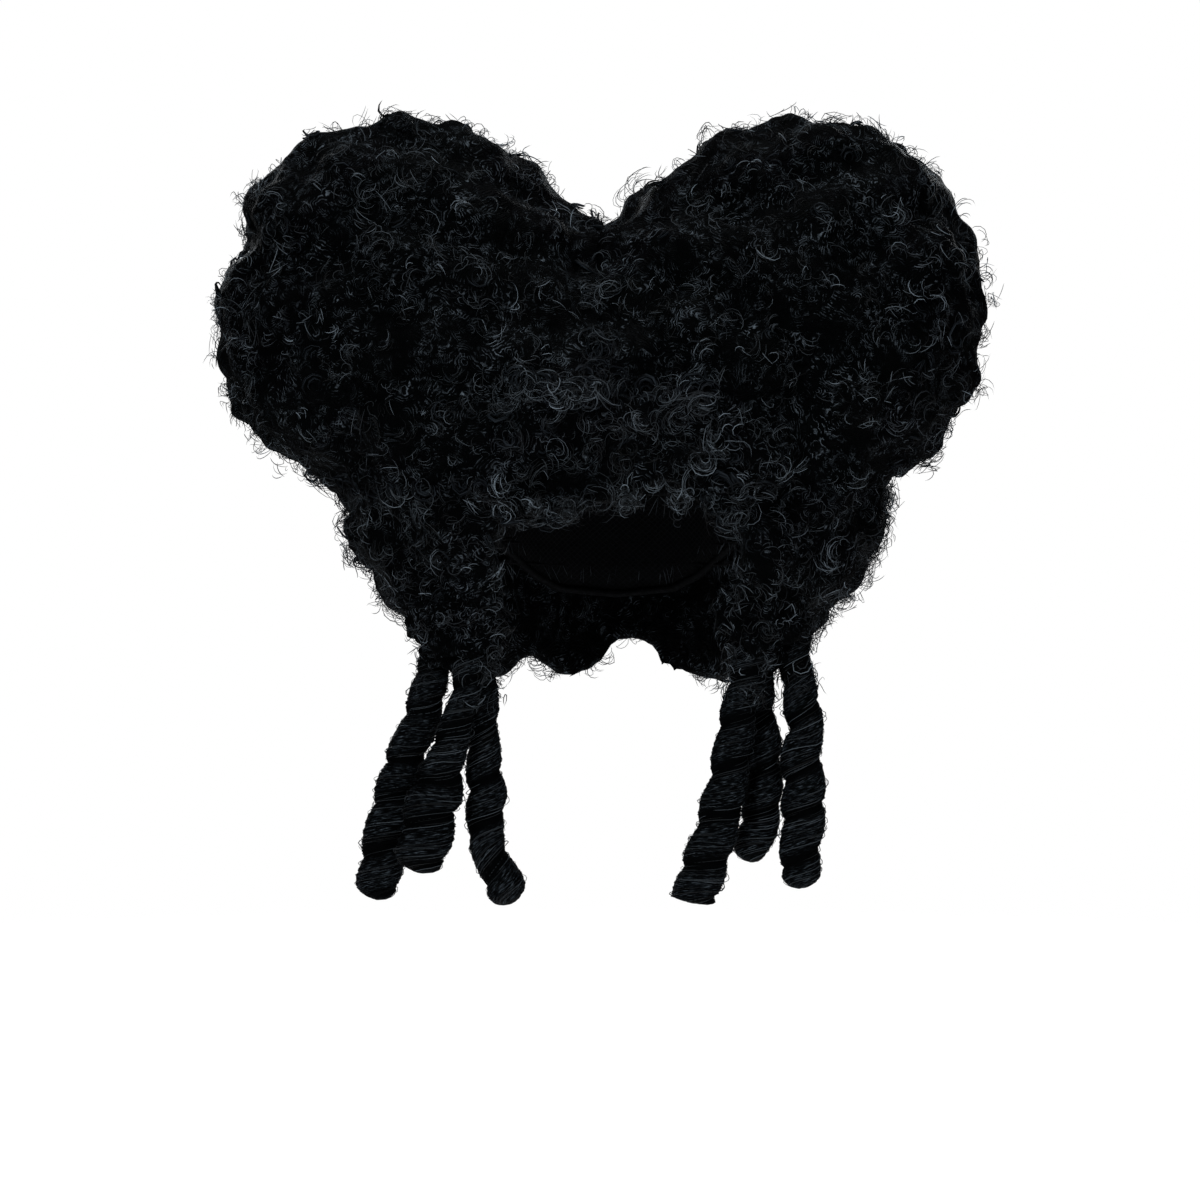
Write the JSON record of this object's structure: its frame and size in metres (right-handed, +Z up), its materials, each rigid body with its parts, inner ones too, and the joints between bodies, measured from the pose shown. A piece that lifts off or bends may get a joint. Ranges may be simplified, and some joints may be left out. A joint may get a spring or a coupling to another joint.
{
  "type": "curled costume wig with two tall lobes and ringlets",
  "caption": "Dark costume wig of tight curls piled into two round lobes, with side hair framing an open face and long wound ringlets, on a hollow cap.",
  "frame": {"origin": "the crown of the head, at the inside of the top of the cap", "axes": "+Z up, the open face towards -Y, +X towards the wearer's left, which is on the right in the picture"},
  "size_m": [0.4512, 0.2596, 0.4555],
  "materials": {
    "hair": "satin synthetic hair in tight curls",
    "ringlet_hair": "satin synthetic hair wound into smooth rolls",
    "cap_net": "matt stretch net"
  },
  "bodies": {
    "root": {"hair_lobe_right": "hair", "hair_lobe_left": "hair", "front_hair": "hair", "side_hair_right": "hair", "side_hair_left": "hair", "back_hair": "hair", "ringlet_right_outer": "ringlet_hair", "ringlet_right_middle": "ringlet_hair", "ringlet_right_inner": "ringlet_hair", "ringlet_left_inner": "ringlet_hair", "ringlet_left_middle": "ringlet_hair", "ringlet_left_outer": "ringlet_hair", "wig_cap": "cap_net"}
  },
  "joints": []
}
